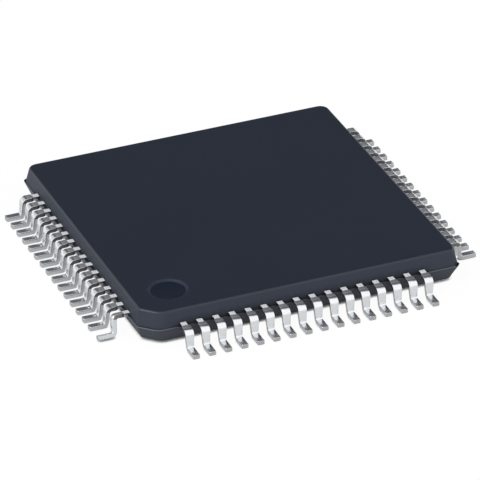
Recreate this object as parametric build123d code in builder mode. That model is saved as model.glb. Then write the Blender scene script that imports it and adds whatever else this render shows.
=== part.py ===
from build123d import *
import os
from math import cos, radians, sin, sqrt, tan

# Thin quad flat pack with 64 gull-wing leads.
# All lengths are in millimetres and all angles in degrees.
# Origin: middle of the seating plane. +X runs along the front row from pin 1,
# +Y points to the back row, +Z points up. Pins count anticlockwise from above.

# Moulding
body_width = 10.0
standoff = 0.08
lower_half_height = 0.48
upper_half_height = 0.52
lower_draft = 18.0
upper_draft = 8.0
parting_ledge = 0.04
corner_radius_top = 0.28
corner_radius_rim = 0.18
corner_radius_bottom = 0.24
pin_one_chamfer = 0.47
chamfer_front_radius = 0.45
chamfer_side_radius = 0.10
top_edge_radius = 0.08

# Marks left by the mould's pins
dimple_diameter = 1.15
dimple_depth = 0.06
dimple_inset = 1.30
ejector_diameter = 1.20
ejector_depth = 0.04
ejector_inset = 1.70
mark_wall_angle = 35.0

# Lead frame
lead_rows = 4
leads_per_row = 16
leads_per_group = 4
row_end_margin = 1.25
lead_width = 0.21
lead_thickness = 0.127
lead_frame_rise = 0.03
neck_length = 0.05
shoulder_length = 0.44
leg_run = 0.045
foot_length = 0.515
bend_radius = 0.12
finger_width = 0.18
finger_straight = 0.45
finger_gap = 0.45
finger_corner_margin = 0.375

# Lead that was knocked sideways
bent_pin = 64
bent_pin_twist = -21.5
bent_pin_twist_length = 0.16

# Die paddle and tie bars
paddle_margin = 0.70
paddle_downset = 0.13
tie_bar_width = 0.20
tie_bar_ramp = 0.20
tie_bar_ramp_start = 0.25
tie_bar_skin = 0.15

# Silicon die and the adhesive under it
die_width = 3.40
die_thickness = 0.25
attach_thickness = 0.02
attach_margin = 0.10

# Bond wires
wire_thickness = 0.025
wire_loop_height = 0.13
pad_inset = 0.12
pad_corner_margin = 0.30
stitch_setback = 0.16

# Heights above the seating plane
body_bottom = standoff
parting_height = body_bottom + lower_half_height
body_top = parting_height + upper_half_height
lead_frame_height = parting_height + lead_frame_rise
lead_frame_top = lead_frame_height + lead_thickness / 2
lead_frame_bottom = lead_frame_height - lead_thickness / 2
paddle_height = lead_frame_height - paddle_downset
paddle_top = paddle_height + lead_thickness / 2
die_bottom = paddle_top + attach_thickness
die_top = die_bottom + die_thickness

# Half widths measured from the middle of the package
rim_reach = body_width / 2
ledge_reach = rim_reach - parting_ledge
bottom_reach = rim_reach - lower_half_height * tan(radians(lower_draft))
top_reach = ledge_reach - upper_half_height * tan(radians(upper_draft))
neck_reach = rim_reach + neck_length
knee_reach = rim_reach + shoulder_length
heel_reach = knee_reach + leg_run
tip_reach = heel_reach + foot_length
finger_bend_reach = rim_reach - finger_straight
paddle_reach = die_width / 2 + paddle_margin
finger_tip_reach = paddle_reach + finger_gap

# Spacing of the leads, of their finger tips and of the pads on the die
lead_pitch = (body_width - 2 * row_end_margin) / (leads_per_row - 1)
finger_tip_pitch = 2 * (finger_tip_reach - finger_corner_margin) / (leads_per_row - 1)
pad_pitch = (die_width - 2 * pad_corner_margin) / (leads_per_row - 1)


def body_outline(height, reach, corner_radius):
    """Square outline of the moulding, with the chamfer that marks pin 1."""
    with BuildSketch(Plane.XY.offset(height)) as outline:
        Rectangle(2 * reach, 2 * reach)
        corners = outline.vertices().sort_by(lambda corner: corner.X + corner.Y)
        fillet(corners[1:], radius=corner_radius)
        pin_one_corner = outline.vertices().sort_by_distance((-reach, -reach))[0]
        chamfer(pin_one_corner, length=pin_one_chamfer)
        ends = outline.vertices().sort_by_distance((-reach, -reach))[:2]
        fillet(ends.sort_by(Axis.Y)[0], radius=chamfer_front_radius)
        ends = outline.vertices().sort_by_distance((-reach, -reach + pin_one_chamfer))
        fillet(ends[0], radius=chamfer_side_radius)
    return outline.sketch


def place_in_row(index):
    """Position of a lead along its row, counted in pitches from the middle."""
    return index - (leads_per_row - 1) / 2


def lead_shape(index, twist=0):
    """One lead of the front row: finger inside the moulding, wing outside it."""
    place = place_in_row(index)
    offset = place * lead_pitch
    wing_start = neck_reach + bent_pin_twist_length if twist else neck_reach
    lead_axis = Axis((offset, 0, lead_frame_height), (0, 1, 0))

    with BuildPart() as wing:
        with BuildSketch(Plane.YZ.offset(offset)):
            with BuildLine():
                FilletPolyline(
                    (-wing_start, lead_frame_height),
                    (-knee_reach, lead_frame_height),
                    (-heel_reach, lead_thickness / 2),
                    (-tip_reach, lead_thickness / 2),
                    radius=bend_radius,
                )
            trace(line_width=lead_thickness)
        extrude(amount=lead_width / 2, both=True)

    with BuildPart() as lead:
        with BuildSketch(Plane.XY.offset(lead_frame_bottom)):
            with BuildLine():
                Polyline(
                    (offset - lead_width / 2, -neck_reach),
                    (offset - lead_width / 2, -finger_bend_reach),
                    (place * finger_tip_pitch - finger_width / 2, -finger_tip_reach),
                    (place * finger_tip_pitch + finger_width / 2, -finger_tip_reach),
                    (offset + lead_width / 2, -finger_bend_reach),
                    (offset + lead_width / 2, -neck_reach),
                    close=True,
                )
            make_face()
        extrude(amount=lead_thickness)
        if twist:
            for reach, turn in ((neck_reach, 0), (wing_start, twist)):
                section = Plane((offset, -reach, lead_frame_height), (1, 0, 0), (0, -1, 0))
                with BuildSketch(section):
                    Rectangle(lead_width, lead_thickness, rotation=-turn)
            loft(ruled=True)
        add(wing.part.rotate(lead_axis, twist))
    return lead.part


def bond_wire(index):
    """Wire from a pad on the die to the finger of one lead of the front row."""
    place = place_in_row(index)
    pad = Vector(place * pad_pitch, pad_inset - die_width / 2, die_top)
    finger_tip = Vector(place * finger_tip_pitch, -finger_tip_reach, lead_frame_top)
    finger_bend = Vector(place * lead_pitch, -finger_bend_reach, lead_frame_top)
    stitch = finger_tip + (finger_bend - finger_tip).normalized() * stitch_setback
    outward = Vector(stitch.X - pad.X, stitch.Y - pad.Y, 0).normalized()

    with BuildPart() as wire:
        with BuildLine() as path:
            Polyline(
                pad,
                pad + Vector(0, 0, wire_loop_height),
                stitch - Vector(0, 0, wire_thickness),
            )
        with BuildSketch(Plane(pad, x_dir=outward)):
            Rectangle(wire_thickness, wire_thickness)
        sweep(transition=Transition.RIGHT)
        split(bisect_by=Plane.XY.offset(lead_frame_top), keep=Keep.TOP)
    return wire.part


# Outer form of the moulding: two drafted halves that meet at the parting plane
with BuildPart() as moulding:
    add(body_outline(body_bottom, bottom_reach, corner_radius_bottom))
    add(body_outline(parting_height, rim_reach, corner_radius_rim))
    loft(ruled=True)
    add(body_outline(parting_height, ledge_reach, corner_radius_rim))
    add(body_outline(body_top, top_reach, corner_radius_top))
    loft(ruled=True)
    fillet(moulding.faces().sort_by(Axis.Z)[-1].edges(), radius=top_edge_radius)

    # Round dimple beside pin 1
    dimple_place = dimple_inset - rim_reach
    with BuildSketch(Plane.XY.offset(body_top)):
        with Locations((dimple_place, dimple_place)):
            Circle(dimple_diameter / 2)
    extrude(amount=-dimple_depth, taper=mark_wall_angle, mode=Mode.SUBTRACT)

    # Two ejector marks on the underside, across the other diagonal
    ejector_place = rim_reach - ejector_inset
    with BuildSketch(Plane.XY.offset(body_bottom)):
        with Locations((ejector_place, -ejector_place), (-ejector_place, ejector_place)):
            Circle(ejector_diameter / 2)
    extrude(amount=ejector_depth, taper=mark_wall_angle, mode=Mode.SUBTRACT)

# Stamped paddle that carries the die, held by a tie bar to each corner
with BuildPart() as die_paddle:
    with BuildSketch(Plane.XY.offset(paddle_height - lead_thickness / 2)):
        Rectangle(2 * paddle_reach, 2 * paddle_reach)
    extrude(amount=lead_thickness)
    ramp_start = paddle_reach * sqrt(2) + tie_bar_ramp_start
    ramp_end = ramp_start + tie_bar_ramp
    pin_one_reach = (rim_reach - pin_one_chamfer / 2) * sqrt(2) - tie_bar_skin
    for corner in range(4):
        angle = radians(45 + 90 * corner)
        bar_end = pin_one_reach if corner == 2 else rim_reach * sqrt(2)
        outward = Vector(cos(angle), sin(angle), 0)
        with BuildSketch(Plane((0, 0, 0), x_dir=outward, z_dir=(sin(angle), -cos(angle), 0))):
            with BuildLine():
                Polyline(
                    (paddle_reach, paddle_height),
                    (ramp_start, paddle_height),
                    (ramp_end, lead_frame_height),
                    (bar_end, lead_frame_height),
                )
            trace(line_width=lead_thickness)
        extrude(amount=tie_bar_width / 2, both=True)
    add(moulding.part, mode=Mode.INTERSECT)

# Adhesive under the die
with BuildPart() as die_attach:
    with BuildSketch(Plane.XY.offset(paddle_top)):
        Rectangle(die_width + 2 * attach_margin, die_width + 2 * attach_margin)
    extrude(amount=attach_thickness)

# Silicon die
with BuildPart() as silicon_die:
    with BuildSketch(Plane.XY.offset(die_bottom)):
        Rectangle(die_width, die_width)
    extrude(amount=die_thickness)

# Leads in groups of four, and the bond wires of each row
pieces = {"die_paddle": die_paddle, "die_attach": die_attach, "silicon_die": silicon_die}
row_names = ("front", "right", "back", "left")
straight_leads = [lead_shape(index) for index in range(leads_per_row)]
bent_lead = lead_shape((bent_pin - 1) % leads_per_row, bent_pin_twist)
wires = [bond_wire(index) for index in range(leads_per_row)]
for row in range(lead_rows):
    turn = 360 / lead_rows * row
    for first in range(0, leads_per_row, leads_per_group):
        with BuildPart() as lead_group:
            for index in range(first, first + leads_per_group):
                pin = row * leads_per_row + index + 1
                lead = bent_lead if pin == bent_pin else straight_leads[index]
                add(lead.rotate(Axis.Z, turn))
        first_pin = row * leads_per_row + first + 1
        pieces[f"leads_{first_pin:02d}_to_{first_pin + leads_per_group - 1:02d}"] = lead_group
    with BuildPart() as wire_row:
        add([wire.rotate(Axis.Z, turn) for wire in wires])
    pieces[f"bond_wires_{row_names[row]}"] = wire_row

# Moulded body, cast round everything above
with BuildPart() as moulded_body:
    add(moulding.part)
    add([piece.part for piece in pieces.values()], mode=Mode.SUBTRACT)
pieces["moulded_body"] = moulded_body

os.makedirs("parts", exist_ok=True)
for name, piece in pieces.items():
    piece.part.label = name
    export_step(piece.part, f"parts/{name}.step")
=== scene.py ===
from math import atan2, cos, pi, radians, sin, tan

import bmesh
import bpy
from mathutils import Matrix, Vector


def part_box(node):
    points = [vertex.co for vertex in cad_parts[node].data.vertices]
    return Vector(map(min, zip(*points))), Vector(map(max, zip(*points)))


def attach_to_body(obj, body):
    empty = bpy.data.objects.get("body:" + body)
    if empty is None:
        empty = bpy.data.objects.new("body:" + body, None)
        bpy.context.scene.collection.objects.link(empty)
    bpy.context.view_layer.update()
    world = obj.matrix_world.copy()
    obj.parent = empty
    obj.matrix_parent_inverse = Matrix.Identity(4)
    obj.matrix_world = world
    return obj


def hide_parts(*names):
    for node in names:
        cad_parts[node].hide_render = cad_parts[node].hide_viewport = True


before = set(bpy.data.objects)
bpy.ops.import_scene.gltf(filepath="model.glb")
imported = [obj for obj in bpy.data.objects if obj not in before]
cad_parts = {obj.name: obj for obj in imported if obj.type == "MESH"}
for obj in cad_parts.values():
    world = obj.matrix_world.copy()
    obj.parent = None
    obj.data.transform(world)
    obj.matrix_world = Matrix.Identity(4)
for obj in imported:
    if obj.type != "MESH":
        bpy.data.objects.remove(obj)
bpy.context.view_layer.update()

mm = 0.001


# Die paddle and tie bars
# The middle of the lead frame: a square plate that carries the die and a bar from it to each corner,
# stamped from rolled copper alloy strip. The mould compound closes round all of it.
def colour(sheet_hex):
    """Linear colour of an sRGB hex value."""
    channels = [int(sheet_hex[start:start + 2], 16) / 255 for start in (1, 3, 5)]
    return [c / 12.92 if c <= 0.04045 else ((c + 0.055) / 1.055) ** 2.4 for c in channels] + [1.0]


def add_node(tree, kind, settings=None, links=None):
    """Adds a node, sets its inputs or properties by name, and joins outputs of other nodes to its inputs."""
    node = tree.nodes.new(kind)
    for name, value in (settings or {}).items():
        if isinstance(name, int) or name in node.inputs:
            node.inputs[name].default_value = value
        else:
            setattr(node, name, value)
    for name, output in (links or {}).items():
        tree.links.new(output, node.inputs[name])
    return node


def start_material(name, **settings):
    """A material with a Principled shader, and the place on the object that its patterns are drawn by."""
    material = bpy.data.materials.new(name)
    material.use_nodes = True
    tree = material.node_tree
    tree.nodes.clear()
    named = {key.replace("_", " ").title().replace("Ior", "IOR"): value for key, value in settings.items()}
    shader = add_node(tree, "ShaderNodeBsdfPrincipled", named)
    add_node(tree, "ShaderNodeOutputMaterial", links={"Surface": shader.outputs[0]})
    place = add_node(tree, "ShaderNodeTexCoord").outputs["Object"]
    return material, tree, shader, place


def vary(tree, shader, socket, pattern, low, high):
    """Lets a pattern move one of the shader's sockets between two values or two colours."""
    if socket == "Base Color":
        mix = add_node(tree, "ShaderNodeMix", {"data_type": "RGBA"}, {"Factor": pattern})
        mix.inputs[6].default_value = low
        mix.inputs[7].default_value = high
        tree.links.new(mix.outputs[2], shader.inputs[socket])
    else:
        span = add_node(tree, "ShaderNodeMapRange", {"To Min": low, "To Max": high}, {"Value": pattern})
        tree.links.new(span.outputs[0], shader.inputs[socket])


def raise_surface(tree, shader, pattern, height, strength):
    """Raises the surface by a pattern, by a real height in millimetres."""
    bump = add_node(tree, "ShaderNodeBump", {"Strength": strength, "Distance": height * mm}, {"Height": pattern})
    tree.links.new(bump.outputs[0], shader.inputs["Normal"])


def dress(node, material):
    """Gives a CAD node its material."""
    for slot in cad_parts[node].material_slots:
        slot.material = material


# Copper alloy strip, rolled: fine lines along the strip, oxidised nearly black so that the epoxy grips it
rolling_line = 0.04
rolling_stretch = 12
copper, tree, shader, place = start_material("rolled_copper_alloy", metallic=1.0, roughness=0.3)
along = add_node(tree, "ShaderNodeMapping", {"Scale": (1 / rolling_stretch, 1, 1)}, {"Vector": place})
lines = add_node(tree, "ShaderNodeTexNoise", {"Scale": 1 / (rolling_line * mm), "Detail": 3.0},
                 {"Vector": along.outputs[0]})
vary(tree, shader, "Base Color", lines.outputs[0], colour("#2e2a29"), colour("#433c39"))
vary(tree, shader, "Roughness", lines.outputs[0], 0.38, 0.52)
raise_surface(tree, shader, lines.outputs[0], 0.001, 0.4)
dress("die_paddle", copper)


# Die attach
# The thin bed of silver-filled epoxy that glues the die to its paddle, printed wet and cured grey.
flake = 0.03
attach, tree, shader, place = start_material("cured_silver_epoxy", roughness=0.5, metallic=0.4, ior=1.55)
flakes = add_node(tree, "ShaderNodeTexVoronoi", {"Scale": 1 / (flake * mm)}, {"Vector": place})
vary(tree, shader, "Base Color", flakes.outputs["Distance"], colour("#b8b7b0"), colour("#85847e"))
raise_surface(tree, shader, flakes.outputs["Distance"], 0.003, 0.5)
dress("die_attach", attach)


# Silicon die
# The chip itself, sawn from a polished wafer. Its wiring shows as blocks of slightly different greys
# under the clear passivation layer.
block_length = 0.55
block_height = 0.22
silicon, tree, shader, place = start_material("polished_silicon", roughness=0.08, ior=3.9)
blocks = add_node(tree, "ShaderNodeTexBrick", {
    "Scale": 1 / mm, "Brick Width": block_length, "Row Height": block_height, "Mortar Size": 0.006,
    "Color1": colour("#2b3038"), "Color2": colour("#3a3743"), "Mortar": colour("#7d766a"),
}, {"Vector": place})
tree.links.new(blocks.outputs["Color"], shader.inputs["Base Color"])
vary(tree, shader, "Roughness", blocks.outputs["Fac"], 0.06, 0.2)
dress("silicon_die", silicon)


# Bond wires
# Gold wire from each pad on the die to its finger of the lead frame: welded to the pad as a flat ball,
# drawn up and over in a loop, and pressed flat onto the finger.
wire_names = ("front", "right", "back", "left")
draw_line = 0.006
gold, tree, shader, place = start_material("drawn_gold_wire", metallic=1.0, roughness=0.15)
drawn = add_node(tree, "ShaderNodeTexNoise", {"Scale": 1 / (draw_line * mm), "Detail": 2.0}, {"Vector": place})
vary(tree, shader, "Base Color", drawn.outputs[0], colour("#f2cd7c"), colour("#ffe29d"))
vary(tree, shader, "Roughness", drawn.outputs[0], 0.10, 0.22)
for row_name in wire_names:
    dress(f"bond_wires_{row_name}", gold)


# Moulded body
# One block of black epoxy, transfer-moulded in two halves that meet on a small ledge. The leads come out
# just above it. Corners are round, apart from the cut one that marks pin one, with a dimple beside it.
body_low, body_high = (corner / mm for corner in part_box("moulded_body"))
rim_reach = body_high.x
parting_height = 0.56
parting_ledge = 0.04
lower_draft = radians(18)
upper_draft = radians(8)
corner_radius_top = 0.28
corner_radius_rim = 0.18
corner_radius_bottom = 0.24
pin_one_cut = 0.47
cut_front_radius = 0.45
cut_side_radius = 0.10
top_edge_radius = 0.08
ledge_edge_radius = 0.024
bottom_edge_radius = 0.04
flat_margin = 0.01
corner_steps = 10
edge_steps = 8
ledge_edge_steps = 4


def body_ring(reach, height, corner_radius, inset=0.0):
    """Outline of the body at one height: a square with round corners and the cut at pin one."""
    cut = pin_one_cut - (2 - 2 ** 0.5) * inset
    corners = (
        (-reach + cut, -reach, cut_front_radius), (reach, -reach, corner_radius), (reach, reach, corner_radius),
        (-reach, reach, corner_radius), (-reach, -reach + cut, cut_side_radius),
    )
    ring = []
    for index, (x, y, radius) in enumerate(corners):
        corner = Vector((x, y))
        before = Vector(corners[index - 1][:2])
        after = Vector(corners[(index + 1) % len(corners)][:2])
        way_in = (corner - before).normalized()
        turn = way_in.angle(after - corner)
        radius -= inset
        start = corner - way_in * radius * tan(turn / 2)
        inward = Vector((-way_in.y, way_in.x))
        for step in range(corner_steps + 1):
            angle = turn * step / corner_steps
            point = start + inward * radius * (1 - cos(angle)) + way_in * radius * sin(angle)
            ring.append((point.x, point.y, height))
    return ring


def skin(bm, rings, material=0, by_level=None):
    """Joins rings of points into a smooth skin, and returns the first and last ring of vertices."""
    by_level = by_level or {}
    made = [[bm.verts.new(point) for point in ring] for ring in rings]
    for level, (lower, upper) in enumerate(zip(made, made[1:])):
        for index in range(len(lower)):
            face = bm.faces.new((lower[index - 1], lower[index], upper[index], upper[index - 1]))
            face.material_index = by_level.get(level, material)
            face.smooth = True
    return made[0], made[-1]


def close_flat(bm, outer, holes):
    """Fills the flat face between an outline and the round marks in it."""
    edges = [bm.edges.get((ring[index - 1], ring[index])) for ring in (outer, *holes) for index in range(len(ring))]
    bmesh.ops.triangle_fill(bm, edges=edges, use_beauty=True, use_dissolve=False)


def add_piece(name, bm, materials, node):
    """Turns a mesh in millimetres into a piece of the scene that stands for a CAD node."""
    bmesh.ops.recalc_face_normals(bm, faces=bm.faces)
    bmesh.ops.scale(bm, vec=(mm, mm, mm), verts=bm.verts)
    mesh = bpy.data.meshes.new(name)
    bm.to_mesh(mesh)
    bm.free()
    for material in materials:
        mesh.materials.append(material)
    mesh.set_sharp_from_angle(angle=radians(28))
    piece = bpy.data.objects.new(name, mesh)
    bpy.context.scene.collection.objects.link(piece)
    weighted = piece.modifiers.new("flat_faces_stay_flat", "WEIGHTED_NORMAL")
    weighted.keep_sharp = True
    weighted.weight = 100
    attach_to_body(piece, "root")
    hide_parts(node)
    return piece


ledge_reach = rim_reach - parting_ledge
upper_height = body_high.z - parting_height
lower_height = parting_height - body_low.z
top_reach = ledge_reach - upper_height * tan(upper_draft)
bottom_reach = rim_reach - lower_height * tan(lower_draft)

body_rings = []
# Bottom edge, rounded from the underside into the lower draft
bottom_turn = pi / 2 + lower_draft
setback = bottom_edge_radius * tan(bottom_turn / 2)
body_rings.append(body_ring(bottom_reach - setback - flat_margin, body_low.z, corner_radius_bottom,
                            setback + flat_margin))
for step in range(edge_steps + 1):
    angle = bottom_turn * step / edge_steps
    height = body_low.z + bottom_edge_radius * (1 - cos(angle))
    reach = bottom_reach - setback + bottom_edge_radius * sin(angle)
    wall = bottom_reach + (height - body_low.z) * tan(lower_draft)
    body_rings.append(body_ring(reach, height, corner_radius_bottom, wall - reach))
# Rim of the lower half, rounded over onto the ledge
first_on_ledge = len(body_rings)
setback = ledge_edge_radius * tan(bottom_turn / 2)
for step in range(ledge_edge_steps + 1):
    angle = bottom_turn * step / ledge_edge_steps - lower_draft
    height = parting_height - ledge_edge_radius * (1 - sin(angle))
    reach = rim_reach - setback + ledge_edge_radius * cos(angle)
    body_rings.append(body_ring(reach, height, corner_radius_rim, rim_reach - reach))
# Foot of the upper half, then its top edge rounded onto the top face
body_rings.append(body_ring(ledge_reach, parting_height, corner_radius_rim))
setback = top_edge_radius * tan((pi / 2 - upper_draft) / 2)
for step in range(edge_steps + 1):
    angle = upper_draft + (pi / 2 - upper_draft) * step / edge_steps
    height = body_high.z - top_edge_radius * (1 - sin(angle))
    reach = top_reach - setback + top_edge_radius * cos(angle)
    wall = top_reach + (body_high.z - height) * tan(upper_draft)
    body_rings.append(body_ring(reach, height, corner_radius_top, wall - reach))
body_rings.append(body_ring(top_reach - setback - flat_margin, body_high.z, corner_radius_top,
                            setback + flat_margin))

# Round marks of the mould's pins: the dimple beside pin one, and two shallow ejector marks underneath
dimple_radius = 1.15 / 2
dimple_depth = 0.06
dimple_inset = 1.30
ejector_radius = 1.20 / 2
ejector_depth = 0.04
ejector_inset = 1.70
mark_wall = radians(35)
mark_edge_radius = 0.05
mark_edge_steps = 4
mark_sides = 96


def mark_rings(x, y, face_height, radius, depth):
    """Rings of a round mark, from its rim down to its floor. A negative depth goes up into the underside."""
    turn = pi / 2 - mark_wall
    setback = mark_edge_radius * tan(turn / 2)
    floor_radius = radius - abs(depth) * tan(mark_wall)
    profile = [(radius + setback + flat_margin, 0)]
    for step in range(mark_edge_steps + 1):
        angle = turn * step / mark_edge_steps
        profile.append((radius + setback - mark_edge_radius * sin(angle), mark_edge_radius * (1 - cos(angle))))
    for step in range(mark_edge_steps + 1):
        angle = turn * (1 - step / mark_edge_steps)
        drop = abs(depth) - mark_edge_radius * (1 - cos(angle))
        profile.append((floor_radius - setback + mark_edge_radius * sin(angle), drop))
    down = -1 if depth > 0 else 1
    turns = [2 * pi * side / mark_sides for side in range(mark_sides)]
    return [[(x + r * cos(a), y + r * sin(a), face_height + down * drop) for a in turns] for r, drop in profile]


bm = bmesh.new()
by_level = {level: 2 for level in range(first_on_ledge, first_on_ledge + ledge_edge_steps + 1)}
by_level.update({first_on_ledge - 1: 5, first_on_ledge + ledge_edge_steps + 1: 3})
bottom_ring, top_ring = skin(bm, body_rings, by_level=by_level)
dimple_place = dimple_inset - rim_reach
dimple_rim, dimple_floor = skin(bm, mark_rings(dimple_place, dimple_place, body_high.z, dimple_radius,
                                               dimple_depth), material=4)
bm.faces.new(dimple_floor).material_index = 1
close_flat(bm, top_ring, [dimple_rim])
ejector_place = rim_reach - ejector_inset
ejector_rims = []
for x, y in ((ejector_place, -ejector_place), (-ejector_place, ejector_place)):
    ejector_rim, ejector_floor = skin(bm, mark_rings(x, y, body_low.z, ejector_radius, -ejector_depth), material=4)
    bm.faces.new(ejector_floor).material_index = 1
    ejector_rims.append(ejector_rim)
close_flat(bm, bottom_ring, ejector_rims)

# Epoxy filled with silica grains, moulded against a spark-eroded tool: near black with a blue cast, a
# fine even grain that scatters what it reflects, and faint paler clouds where the compound flowed.
grain = 0.045
cloud = 3.5
epoxy, tree, shader, place = start_material("moulded_black_epoxy", roughness=0.38, ior=1.5)
clouds = add_node(tree, "ShaderNodeTexNoise", {"Scale": 1 / (cloud * mm), "Detail": 2.0}, {"Vector": place})
vary(tree, shader, "Base Color", clouds.outputs[0], colour("#181f2d"), colour("#1c2331"))
grains = add_node(tree, "ShaderNodeTexNoise", {"Scale": 1 / (grain * mm), "Detail": 2.0}, {"Vector": place})
vary(tree, shader, "Roughness", grains.outputs[0], 0.33, 0.43)
raise_surface(tree, shader, grains.outputs[0], 0.002, 0.2)

# The same epoxy on the drafted wall of the lower half, where the tool is eroded more coarsely and scatters more
wall_grain = 0.06
lower_epoxy, tree, shader, place = start_material("coarse_epoxy_wall", ior=1.5)
pits = add_node(tree, "ShaderNodeTexNoise", {"Scale": 1 / (wall_grain * mm), "Detail": 2.0}, {"Vector": place})
vary(tree, shader, "Base Color", pits.outputs[0], colour("#262c38"), colour("#2e3441"))
vary(tree, shader, "Roughness", pits.outputs[0], 0.5, 0.62)
raise_surface(tree, shader, pits.outputs[0], 0.003, 0.3)

# The same on the wall of the upper half, with painted shade: in the narrow gaps between the leads, where ambient
# occlusion finds the wall closed in, it is painted near black and dull.
painted_shade_reach = 0.35
painted_shade_from = 0.60
painted_shade_to = 0.92
upper_wall_painted_shade, tree, shader, place = start_material("epoxy_wall_with_painted_shade", ior=1.5)
pits = add_node(tree, "ShaderNodeTexNoise", {"Scale": 1 / (wall_grain * mm), "Detail": 2.0}, {"Vector": place})
gaps = add_node(tree, "ShaderNodeAmbientOcclusion", {"Distance": painted_shade_reach * mm})
unshaded = add_node(tree, "ShaderNodeMapRange", {"From Min": painted_shade_from, "From Max": painted_shade_to},
                 {"Value": gaps.outputs["AO"]})
vary(tree, shader, "Base Color", unshaded.outputs[0], colour("#020306"), colour("#1e2636"))
vary(tree, shader, "Roughness", unshaded.outputs[0], 1.0, 0.56)
raise_surface(tree, shader, pits.outputs[0], 0.003, 0.3)

# The same epoxy where a turned steel pin stood in the mould: smoother, and painted darker than the body as
# shade in the hollow of the mark
pin_line = 0.02
pin_epoxy_painted_shade, tree, shader, place = start_material("pin_moulded_epoxy_painted_shade", roughness=0.26, ior=1.5)
turned = add_node(tree, "ShaderNodeTexNoise", {"Scale": 1 / (pin_line * mm), "Detail": 1.0}, {"Vector": place})
vary(tree, shader, "Base Color", turned.outputs[0], colour("#0d1425"), colour("#121a2b"))
vary(tree, shader, "Roughness", turned.outputs[0], 0.22, 0.30)

# The steep wall of those marks, where the pin's edge dragged on the epoxy: as dark, but rough
drag_line = 0.03
dragged_epoxy, tree, shader, place = start_material("dragged_epoxy_wall", ior=1.5, specular_ior_level=0.4)
drags = add_node(tree, "ShaderNodeTexNoise", {"Scale": 1 / (drag_line * mm), "Detail": 2.0}, {"Vector": place})
vary(tree, shader, "Base Color", drags.outputs[0], colour("#141d30"), colour("#1a2337"))
vary(tree, shader, "Roughness", drags.outputs[0], 0.55, 0.7)

# Resin that crept into the split of the mould: without its silica grains it is paler and a little glossy. Its pale
# colour is also a painted highlight for the ledge's rounded rim, and in the gaps between the leads it is painted near
# black: painted shade.
flash_patch = 0.3
flash_and_painted_light, tree, shader, place = start_material("resin_flash_with_painted_light", roughness=0.3, ior=1.5)
patches = add_node(tree, "ShaderNodeTexNoise", {"Scale": 1 / (flash_patch * mm), "Detail": 2.0}, {"Vector": place})
gaps = add_node(tree, "ShaderNodeAmbientOcclusion", {"Distance": painted_shade_reach * mm})
unshaded = add_node(tree, "ShaderNodeMapRange", {"From Min": painted_shade_from, "From Max": painted_shade_to},
                 {"Value": gaps.outputs["AO"]})
vary(tree, shader, "Base Color", unshaded.outputs[0], colour("#040508"), colour("#474d58"))
vary(tree, shader, "Roughness", unshaded.outputs[0], 1.0, 0.32)
raise_surface(tree, shader, patches.outputs[0], 0.002, 0.4)

add_piece("moulded_package", bm, [epoxy, pin_epoxy_painted_shade, flash_and_painted_light, upper_wall_painted_shade, dragged_epoxy, lower_epoxy],
          "moulded_body")


# Gull-wing leads
# Stamped from the same copper strip as the paddle, tin-plated after moulding, then trimmed and bent
# twice: out and level, down, and out again as a flat foot. The cut tips are left bare.
lead_rows = 4
leads_per_row = 16
leads_per_group = 4
leads_low, leads_high = (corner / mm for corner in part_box("leads_01_to_04"))
next_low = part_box("leads_05_to_08")[0] / mm
lead_pitch = (next_low.x - leads_low.x) / leads_per_group
lead_thickness = 0.127
neck_width = 0.185
shoulder_width = 0.265
foot_width = 0.205
lead_height = leads_high.z - lead_thickness / 2
tip_reach = -leads_low.y
finger_tip_reach = -leads_high.y
finger_bend_reach = rim_reach - 0.45
finger_width = 0.18
finger_corner_margin = 0.375
finger_tip_pitch = 2 * (finger_tip_reach - finger_corner_margin) / (leads_per_row - 1)
hidden_reach = rim_reach - 0.10
neck_reach = rim_reach + 0.05
neck_end_reach = rim_reach + 0.135
shoulder_start_reach = rim_reach + 0.19
knee_reach = rim_reach + 0.44
heel_reach = knee_reach + 0.045
bend_radius = 0.12
bend_steps = 12
strip_edge_steps = 3
rolled_edge = 0.014
cut_edge = 0.008
tip_edge = 0.012
bent_pin = 64
bent_pin_twist = radians(-21.5)
bent_pin_twist_length = 0.16


def strip_section(width, thickness):
    """Cross-section of the strip: the punch rolls the upper edges over and leaves the lower ones sharp."""
    points = []
    for side_x, side_z, radius, first in ((1, 1, rolled_edge, 0), (-1, 1, rolled_edge, 90),
                                          (-1, -1, cut_edge, 180), (1, -1, cut_edge, 270)):
        for step in range(strip_edge_steps + 1):
            angle = radians(first + 90 * step / strip_edge_steps)
            across = side_x * (width / 2 - radius) + radius * cos(angle)
            up = side_z * (thickness / 2 - radius) + radius * sin(angle)
            points.append((across, up))
    return points


def wing_stations():
    """Places along the wing, as reach, height, tilt and width, with the bends as arcs of the centre line."""
    foot_height = lead_thickness / 2
    tilt = atan2(lead_height - foot_height, heel_reach - knee_reach)
    setback = bend_radius * tan(tilt / 2)
    stations = [
        (hidden_reach, lead_height, 0, neck_width),
        (neck_end_reach, lead_height, 0, neck_width),
        (shoulder_start_reach, lead_height, 0, shoulder_width),
    ]
    for step in range(bend_steps + 1):
        angle = tilt * step / bend_steps
        reach = knee_reach - setback + bend_radius * sin(angle)
        stations.append((reach, lead_height - bend_radius * (1 - cos(angle)), angle, shoulder_width))
    for step in range(bend_steps + 1):
        angle = tilt * (1 - step / bend_steps)
        reach = heel_reach + setback - bend_radius * sin(angle)
        stations.append((reach, foot_height + bend_radius * (1 - cos(angle)), angle, foot_width))
    stations.append((tip_reach - tip_edge, foot_height, 0, foot_width))
    stations.append((tip_reach, foot_height, 0, foot_width - tip_edge))
    return stations


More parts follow.
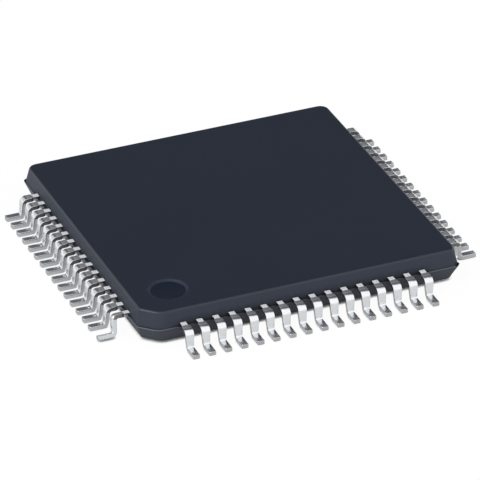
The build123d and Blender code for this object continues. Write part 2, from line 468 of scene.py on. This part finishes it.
def lead_rings(index, twist):
    """Rings of one lead of the front row, from the finger's tip to the foot's tip."""
    place = index - (leads_per_row - 1) / 2
    offset = place * lead_pitch
    rings = []
    for reach, x, width in ((finger_tip_reach, place * finger_tip_pitch, finger_width),
                            (finger_bend_reach, offset, neck_width)):
        section = strip_section(width, lead_thickness)
        rings.append([(x + across, -reach, lead_height + up) for across, up in section])
    for reach, height, tilt, width in wing_stations():
        thickness = lead_thickness - tip_edge if reach == tip_reach else lead_thickness
        share = min(max((reach - neck_reach) / bent_pin_twist_length, 0.0), 1.0)
        turn = Matrix.Rotation(twist * share, 3, "Y")
        ring = []
        for across, up in strip_section(width, thickness):
            level = turn @ Vector((across, 0, height - lead_height + up * cos(tilt)))
            ring.append((offset + level.x, -reach - up * sin(tilt), lead_height + level.z))
        rings.append(ring)
    return rings


# Bright tin over copper: close to a mirror, with the slight waves and fine crystals of the plating
plating_crystal = 0.02
plating_wave = 0.11
tin, tree, shader, place = start_material("bright_tin_plating", metallic=1.0, roughness=0.2)
waves = add_node(tree, "ShaderNodeTexNoise", {"Scale": 1 / (plating_wave * mm), "Detail": 3.0}, {"Vector": place})
crystals = add_node(tree, "ShaderNodeTexNoise", {"Scale": 1 / (plating_crystal * mm), "Detail": 1.0},
                    {"Vector": place})
vary(tree, shader, "Base Color", waves.outputs[0], colour("#e2e4e7"), colour("#eceef0"))
vary(tree, shader, "Roughness", crystals.outputs[0], 0.17, 0.29)
raise_surface(tree, shader, waves.outputs[0], 0.012, 0.7)

# Tin on the shoulder where the forming tool clamped the lead: pressed rough, so it scatters the light
clamped_tin, tree, shader, place = start_material("clamped_matte_tin", metallic=0.6, roughness=0.7, ior=1.5)
dents = add_node(tree, "ShaderNodeTexNoise", {"Scale": 1 / (plating_crystal * mm), "Detail": 3.0},
                 {"Vector": place})
vary(tree, shader, "Base Color", dents.outputs[0], colour("#e6e8ee"), colour("#f2f4f8"))
vary(tree, shader, "Roughness", dents.outputs[0], 0.6, 0.85)
raise_surface(tree, shader, dents.outputs[0], 0.003, 0.6)

# Tin on the flat of the shoulder, scuffed by the same tool: half way between the mirror and the pressed part
scuff = 0.03
scuffed_tin, tree, shader, place = start_material("scuffed_tin_shoulder", metallic=1.0, roughness=0.45)
scuffs = add_node(tree, "ShaderNodeTexNoise", {"Scale": 1 / (scuff * mm), "Detail": 3.0}, {"Vector": place})
vary(tree, shader, "Base Color", scuffs.outputs[0], colour("#d2d5d9"), colour("#e9ebee"))
vary(tree, shader, "Roughness", scuffs.outputs[0], 0.38, 0.55)
raise_surface(tree, shader, scuffs.outputs[0], 0.003, 0.5)

# The stamped sides: the punch leaves them torn and dull, so the tin over them is greyer and less of a mirror
tear_line = 0.03
tear_stretch = 6
side_tilt = 0.75
stamped_side, tree, shader, place = start_material("tinned_stamped_side", metallic=1.0, roughness=0.2)
down_side = add_node(tree, "ShaderNodeMapping", {"Scale": (1, 1, 1 / tear_stretch)}, {"Vector": place})
tears = add_node(tree, "ShaderNodeTexNoise", {"Scale": 1 / (tear_line * mm), "Detail": 2.0},
                 {"Vector": down_side.outputs[0]})
vary(tree, shader, "Base Color", tears.outputs[0], colour("#b9bcbf"), colour("#cbcdcf"))
vary(tree, shader, "Roughness", tears.outputs[0], 0.16, 0.28)

# Where the dam bar between the leads was cut away, on both sides of the shoulder: bare copper, gone dark, and
# painted a darker grey for the shade that neighbouring leads cast on these sides: painted shade.
dam_bar_shade_foot = 0.45
cut_line = 0.02
dam_bar_cut_and_painted_shade, tree, shader, place = start_material("cut_dam_bar_copper_and_painted_shade", metallic=1.0, roughness=0.45)
cuts = add_node(tree, "ShaderNodeTexNoise", {"Scale": 1 / (cut_line * mm), "Detail": 2.0}, {"Vector": place})
vary(tree, shader, "Base Color", cuts.outputs[0], colour("#67676a"), colour("#808083"))
vary(tree, shader, "Roughness", cuts.outputs[0], 0.38, 0.55)

# The trimmed tip: sheared copper alloy with tin smeared over its upper part
shear_line = 0.02
cut_tip, tree, shader, place = start_material("sheared_lead_tip", metallic=1.0, roughness=0.4)
sheared = add_node(tree, "ShaderNodeTexNoise", {"Scale": 1 / (shear_line * mm), "Detail": 2.0}, {"Vector": place})
vary(tree, shader, "Base Color", sheared.outputs[0], colour("#a7a7a6"), colour("#c6c6c5"))
vary(tree, shader, "Roughness", sheared.outputs[0], 0.32, 0.5)

for row in range(lead_rows):
    row_turn = Matrix.Rotation(2 * pi * row / lead_rows, 4, "Z")
    for first in range(0, leads_per_row, leads_per_group):
        bm = bmesh.new()
        for index in range(first, first + leads_per_group):
            pin = row * leads_per_row + index + 1
            rings = lead_rings(index, bent_pin_twist if pin == bent_pin else 0.0)
            finger_end, tip_end = skin(bm, rings)
            bm.faces.new(finger_end)
            bm.faces.new(tip_end).material_index = 2
        for face in bm.faces:
            face.normal_update()
            middle = face.calc_center_median()
            reach = -middle.y
            if abs(face.normal.x) > side_tilt:
                # Upper side faces of the shoulder take the dark cut material, which paints the shade between
                # neighbouring leads
                on_shaded_dam_bar_side = neck_end_reach < reach < knee_reach and middle.z > dam_bar_shade_foot
                face.material_index = 4 if on_shaded_dam_bar_side else 3
            elif middle.z > lead_height and hidden_reach < reach < neck_end_reach:
                face.material_index = 1
            elif middle.z > lead_height and neck_end_reach < reach < knee_reach - bend_radius:
                face.material_index = 5
        bmesh.ops.remove_doubles(bm, verts=bm.verts, dist=0.0001)
        bmesh.ops.transform(bm, matrix=row_turn, verts=bm.verts)
        first_pin = row * leads_per_row + first + 1
        node = f"leads_{first_pin:02d}_to_{first_pin + leads_per_group - 1:02d}"
        add_piece(f"gull_wing_{node}", bm, [tin, clamped_tin, cut_tip, stamped_side, dam_bar_cut_and_painted_shade, scuffed_tin],
                  node)


# Floor and light
# White paper under the part, in a studio that is dim behind: a white wall in front that reaches overhead,
# a paler one on the left and a low band round the sides. A small softbox picks out the cut corner.
floor_reach = 0.6
floor_gap = 0.004
contact_reach = 0.15
contact_samples = 8
closed_from = 0.42
open_from = 0.62
direct_glow = 1.02
direct_share = 0.93
reflected_glow = 0.9
reflected_share = 0.42
bm = bmesh.new()
bmesh.ops.create_grid(bm, x_segments=1, y_segments=1, size=floor_reach)
floor_mesh = bpy.data.meshes.new("floor")
bm.to_mesh(floor_mesh)
bm.free()
floor = bpy.data.objects.new("floor", floor_mesh)
floor.location.z = -floor_gap * mm
bpy.context.scene.collection.objects.link(floor)

# Paper: its plain white glows for rays that look at it, and gives way to shaded paper in the narrow gap
# under the part. Rays that light the scene meet plain matte paper.
paper = bpy.data.materials.new("white_paper")
paper.use_nodes = True
tree = paper.node_tree
tree.nodes.clear()
matte = add_node(tree, "ShaderNodeBsdfDiffuse", {"Color": colour("#d8d8d8")})
light_path = add_node(tree, "ShaderNodeLightPath")
from_camera = light_path.outputs["Is Camera Ray"]
glow_strength = add_node(tree, "ShaderNodeMapRange", {"To Min": reflected_glow, "To Max": direct_glow},
                         {"Value": from_camera})
glow = add_node(tree, "ShaderNodeEmission", {"Color": colour("#ffffff")}, {"Strength": glow_strength.outputs[0]})
share = add_node(tree, "ShaderNodeMapRange", {"To Min": reflected_share, "To Max": direct_share},
                 {"Value": from_camera})
closed_in = add_node(tree, "ShaderNodeAmbientOcclusion",
                     {"Distance": contact_reach * mm, "samples": contact_samples})
in_the_open = add_node(tree, "ShaderNodeMapRange", {"From Min": closed_from, "From Max": open_from},
                       {"Value": closed_in.outputs["AO"]})
seen = from_camera
for ray in ("Is Glossy Ray", "Is Transmission Ray"):
    seen = add_node(tree, "ShaderNodeMath", {"operation": "MAXIMUM"}, {0: seen, 1: light_path.outputs[ray]}).outputs[0]
for part in (share, in_the_open):
    seen = add_node(tree, "ShaderNodeMath", {"operation": "MULTIPLY"}, {0: seen, 1: part.outputs[0]}).outputs[0]
blend = add_node(tree, "ShaderNodeMixShader", links={0: seen, 1: matte.outputs[0], 2: glow.outputs[0]})
add_node(tree, "ShaderNodeOutputMaterial", links={"Surface": blend.outputs[0]})
floor_mesh.materials.append(paper)

# Studio: each wall of light fades in over a range of the sine of its angle from a plane through the part
studio_strength = 1.16
front_azimuth = radians(-25)
front_fade = (-0.45, -0.10)
left_fade = (0.0, 0.3)
left_strength = 0.6
band_fade = (sin(radians(24)), sin(radians(12)))
band_gap_fade = (-0.92, -0.70)
right_fade = (0.50, 0.62)
world = bpy.data.worlds.new("studio")
bpy.context.scene.world = world
world.use_nodes = True
tree = world.node_tree
tree.nodes.clear()
direction = add_node(tree, "ShaderNodeTexCoord").outputs["Generated"]
along_axes = add_node(tree, "ShaderNodeSeparateXYZ", links={"Vector": direction}).outputs
leftward = add_node(tree, "ShaderNodeMath", {"operation": "MULTIPLY", 1: -1.0}, {0: along_axes["X"]}).outputs[0]
front_way = (sin(front_azimuth), -cos(front_azimuth), 0)
frontward = add_node(tree, "ShaderNodeVectorMath", {"operation": "DOT_PRODUCT", 1: front_way},
                     {0: direction}).outputs["Value"]
fades = {}
for wall, value, (dark_from, bright_from), strength in (
    ("front", frontward, front_fade, 1.0),
    ("left", leftward, left_fade, left_strength),
    ("right", along_axes["X"], right_fade, 1.0),
    ("sides", frontward, band_gap_fade, 1.0),
    ("low", along_axes["Z"], band_fade, 1.0),
):
    fades[wall] = add_node(tree, "ShaderNodeMapRange", {
        "From Min": dark_from, "From Max": bright_from, "To Max": strength, "interpolation_type": "SMOOTHSTEP",
    }, {"Value": value}).outputs[0]
bright = fades["sides"]
for operation, wall in (("MAXIMUM", "right"), ("MULTIPLY", "low"), ("MAXIMUM", "front"), ("MAXIMUM", "left")):
    bright = add_node(tree, "ShaderNodeMath", {"operation": operation}, {0: bright, 1: fades[wall]}).outputs[0]
walls = add_node(tree, "ShaderNodeMix", {"data_type": "RGBA"}, {"Factor": bright})
walls.inputs[6].default_value = colour("#585a5e")
walls.inputs[7].default_value = colour("#ffffff")
studio = add_node(tree, "ShaderNodeBackground", {"Strength": studio_strength}, {"Color": walls.outputs[2]})
backdrop = add_node(tree, "ShaderNodeBackground", {"Color": colour("#ffffff"), "Strength": 1.0})
from_camera = add_node(tree, "ShaderNodeLightPath").outputs["Is Camera Ray"]
blend = add_node(tree, "ShaderNodeMixShader", links={0: from_camera, 1: studio.outputs[0], 2: backdrop.outputs[0]})
add_node(tree, "ShaderNodeOutputWorld", links={"Surface": blend.outputs[0]})

# Softbox, on the left and high up
lamp_azimuth = radians(-75)
lamp_elevation = radians(48)
lamp_distance = 0.45
lamp_size = 0.18
lamp_power = 0.6
softbox = bpy.data.lights.new("key_softbox", "AREA")
softbox.shape = "SQUARE"
softbox.size = lamp_size
softbox.energy = lamp_power
lamp_way = Vector((sin(lamp_azimuth) * cos(lamp_elevation), -cos(lamp_azimuth) * cos(lamp_elevation),
                   sin(lamp_elevation)))
lamp = bpy.data.objects.new("key_softbox", softbox)
lamp.location = lamp_way * lamp_distance
lamp.rotation_euler = lamp_way.to_track_quat("Z", "Y").to_euler()
bpy.context.scene.collection.objects.link(lamp)


# Camera
# A long lens that looks down on the part from the front left, a little off level, as in the photograph.
view_azimuth = radians(-21.921)
view_elevation = radians(29.674)
view_roll = radians(-0.775)
view_distance = 151.435
aim_right = 0.042
aim_up = -0.065
focal_pixels = 5087.0
photo_pixels = 480
sensor_width = 36.0
back = Vector((sin(view_azimuth) * cos(view_elevation), -cos(view_azimuth) * cos(view_elevation),
               sin(view_elevation)))
level_right = Vector((cos(view_azimuth), sin(view_azimuth), 0))
level_up = back.cross(level_right)
right = cos(view_roll) * level_right + sin(view_roll) * level_up
up = back.cross(right)
place = (back * view_distance + right * aim_right + up * aim_up) * mm
lens = bpy.data.cameras.new("camera")
lens.sensor_width = sensor_width
lens.lens = focal_pixels / photo_pixels * sensor_width
lens.clip_start = 0.01
camera = bpy.data.objects.new("camera", lens)
camera.matrix_world = Matrix.Translation(place) @ Matrix((right, up, back)).transposed().to_4x4()
bpy.context.scene.collection.objects.link(camera)
bpy.context.scene.camera = camera
bpy.context.scene.view_settings.view_transform = "Standard"
